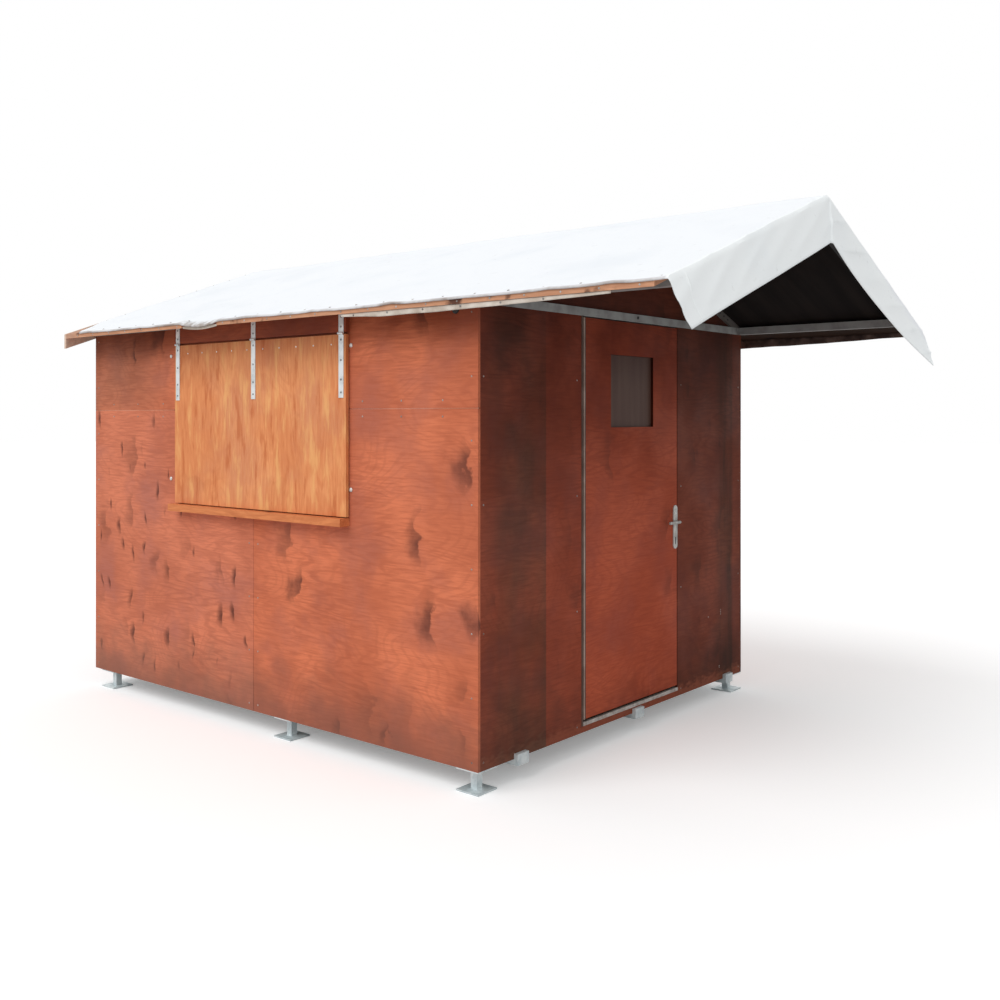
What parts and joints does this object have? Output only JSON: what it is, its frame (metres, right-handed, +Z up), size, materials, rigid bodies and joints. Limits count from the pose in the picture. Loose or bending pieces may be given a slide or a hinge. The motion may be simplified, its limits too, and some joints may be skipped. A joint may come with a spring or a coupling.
{
  "type": "garden house",
  "caption": "Small plywood sales hut on steel feet with a serving hatch, a side door and a tarpaulin gable roof that runs on as a canopy over the door.",
  "frame": {"origin": "on the ground, under the middle of the object's box", "axes": "+X along the ridge towards the door end and its canopy, -Y out of the hatch side, +Z up"},
  "size_m": [4.1128, 2.697, 2.569],
  "materials": {
    "galvanised": "dull galvanised steel",
    "frame_steel": "grey steel tube",
    "floor_wood": "worn plywood",
    "wall_ply": "red-brown stained plywood",
    "hatch_wood": "orange-brown stained plywood",
    "roof_wood": "weathered boards",
    "tarpaulin": "white coated tarpaulin",
    "window_pane": "dark pane",
    "handle_metal": "dull light metal"
  },
  "bodies": {
    "house": {"front_feet": "galvanised", "rear_feet": "galvanised", "floor_bearers": "galvanised", "floor_side_rails": "galvanised", "floor_cross_rails": "galvanised", "floor_boards": "floor_wood", "corner_posts": "frame_steel", "side_posts": "frame_steel", "door_posts": "frame_steel", "hatch_sill_rail": "frame_steel", "front_sheet_left": "wall_ply", "front_sheet_right": "wall_ply", "front_sheet_upper": "wall_ply", "rear_sheet_left": "wall_ply", "rear_sheet_right": "wall_ply", "rear_sheet_upper": "wall_ply", "left_sheet_lower": "wall_ply", "left_sheet_upper": "wall_ply", "door_end_sheet_front": "wall_ply", "door_end_sheet_rear": "wall_ply", "door_sill_strip": "wall_ply", "gable_panels": "wall_ply", "eave_beams": "frame_steel", "tie_bars": "frame_steel", "ridge_beam": "frame_steel", "front_rafters": "frame_steel", "rear_rafters": "frame_steel", "roof_boards_front": "roof_wood", "roof_boards_rear": "roof_wood", "eave_boards": "roof_wood", "verge_boards": "roof_wood", "roof_tarp": "tarpaulin", "gable_flaps": "tarpaulin", "hatch_header": "wall_ply", "hatch_ledge": "hatch_wood", "hatch_hinge_leaves": "galvanised", "door_hinge_strip": "galvanised", "door_threshold": "galvanised"},
    "hatch": {"hatch_flap": "hatch_wood", "hatch_straps": "galvanised"},
    "door": {"door_leaf": "wall_ply", "door_stiles": "frame_steel", "door_rails": "frame_steel", "door_window": "window_pane", "door_hinge_knuckles": "galvanised", "handle_plates": "handle_metal"},
    "lever": {"door_lever": "handle_metal"}
  },
  "joints": [
    {"name": "hatch_hinge", "type": "hinge", "parent": "house", "child": "hatch", "pos_m": [-0.47691, -1.204, 1.977], "axis": [-1, 0, 0], "range_deg": [0, 90]},
    {"name": "door_hinge", "type": "hinge", "parent": "house", "child": "door", "pos_m": [0.99759, -0.4145, 1.1], "axis": [0, 0, -1], "range_deg": [0, 105]},
    {"name": "lever_turn", "type": "hinge", "parent": "door", "child": "lever", "pos_m": [0.99359, 0.424, 1.031], "axis": [1, 0, 0], "range_deg": [0, 40], "stiffness_Nm_per_rad": 1.5, "springref_deg": -28.65}
  ]
}
